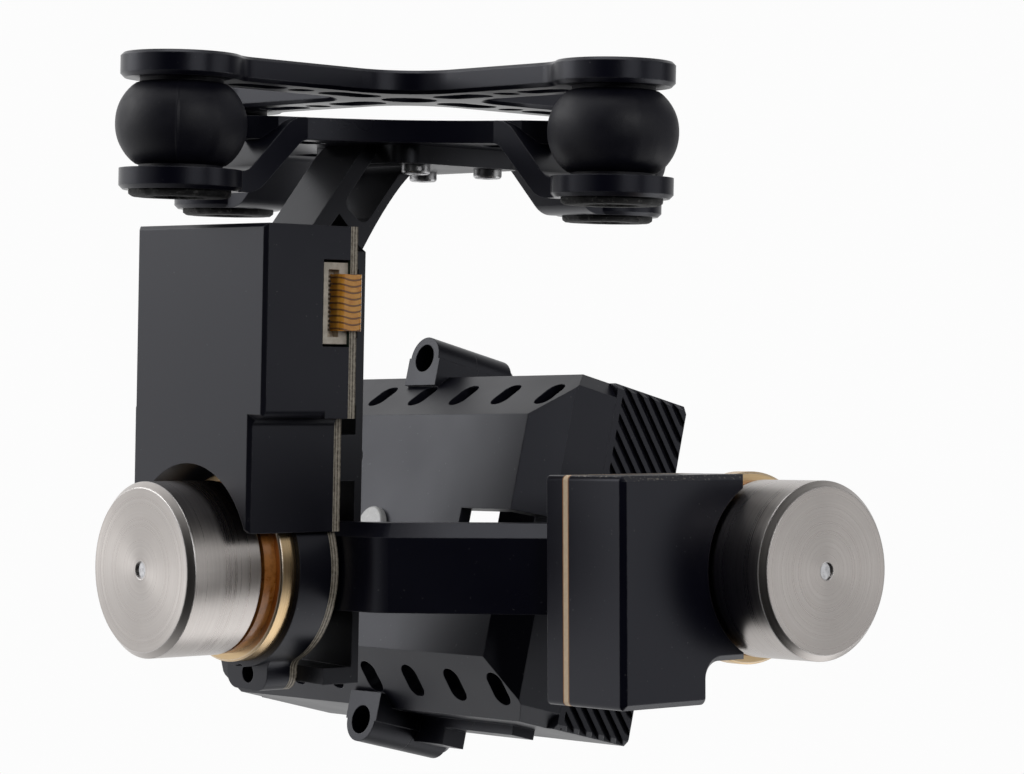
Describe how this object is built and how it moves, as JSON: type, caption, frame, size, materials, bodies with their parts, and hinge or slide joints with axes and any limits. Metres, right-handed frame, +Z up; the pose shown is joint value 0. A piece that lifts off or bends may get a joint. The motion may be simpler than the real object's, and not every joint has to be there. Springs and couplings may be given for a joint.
{
  "type": "gimbal stabilizer",
  "caption": "Hanging camera stabilizer: damped cross plate, bent neck, roll motor, curved arm and tilt motor carrying a slotted clamp case.",
  "frame": {"origin": "middle of the bolt pattern on the top face of the upper damper plate", "axes": "+X towards the tilt motor, +Y where the camera looks, +Z up"},
  "size_m": [0.099, 0.084, 0.0839],
  "materials": {
    "black_anodised": "satin black anodised",
    "damper_rubber": "matte",
    "screw_steel": "satin",
    "motor_silver": "turned satin",
    "magnet_steel": "plated",
    "stator_iron": "varnished laminations",
    "coil_varnish": "amber",
    "flange_gold": "pale gold anodised",
    "shaft_steel": "ground",
    "board_edge": "cut laminate",
    "chip_black": "matte",
    "connector_cream": "semi gloss",
    "contact_metal": "dull",
    "flex_orange": "semi gloss",
    "button_light": "semi gloss",
    "plug_white": "matte"
  },
  "bodies": {
    "mount_plate": {"upper_damper_plate": "black_anodised", "damper_front": "damper_rubber", "damper_right": "damper_rubber", "damper_rear": "damper_rubber", "damper_left": "damper_rubber"},
    "suspended_frame": {"lower_damper_plate": "black_anodised", "neck_bracket": "black_anodised", "platform_screws": "screw_steel", "housing_screws": "screw_steel", "roll_housing": "black_anodised", "control_board": "board_edge", "board_chips": "chip_black", "flex_connector": "connector_cream", "connector_contacts": "contact_metal", "ribbon_cable": "flex_orange", "roll_stator": "stator_iron", "roll_coil_ring": "coil_varnish", "roll_motor_flange": "flange_gold", "roll_bearings": "shaft_steel", "hub_bearing": "shaft_steel"},
    "tilt_arm": {"roll_arm": "black_anodised", "roll_motor_can": "motor_silver", "roll_motor_magnets": "magnet_steel", "roll_shaft": "shaft_steel", "tilt_board": "board_edge", "tilt_housing": "black_anodised", "tilt_screws": "screw_steel", "tilt_motor_flange": "flange_gold", "tilt_coil_ring": "coil_varnish", "tilt_stator": "stator_iron", "tilt_bearings": "shaft_steel"},
    "camera_case": {"case_rear_shell": "black_anodised", "case_front_shell": "black_anodised", "tilt_hub": "black_anodised", "hub_screws": "screw_steel", "case_clamp_screws": "screw_steel", "case_pads": "damper_rubber", "case_button": "button_light", "camera_plug": "plug_white", "tilt_motor_can": "motor_silver", "tilt_motor_magnets": "magnet_steel", "tilt_shaft": "shaft_steel"}
  },
  "joints": [
    {"name": "damper_travel", "type": "slide", "parent": "mount_plate", "child": "suspended_frame", "axis": [0, 0, 1], "range_m": [-0.0015, 0.0015], "stiffness_N_per_m": 1500, "deforming": ["damper_front", "damper_right", "damper_rear", "damper_left"]},
    {"name": "roll_axis", "type": "hinge", "parent": "suspended_frame", "child": "tilt_arm", "pos_m": [0.001, 0.015, -0.0583], "axis": [0, 1, 0], "range_deg": [-23, 27]},
    {"name": "tilt_axis", "type": "hinge", "parent": "tilt_arm", "child": "camera_case", "pos_m": [0.001, 0.015, -0.0583], "axis": [0.9994, 0, 0.0349], "range_deg": [-121, 104]}
  ]
}
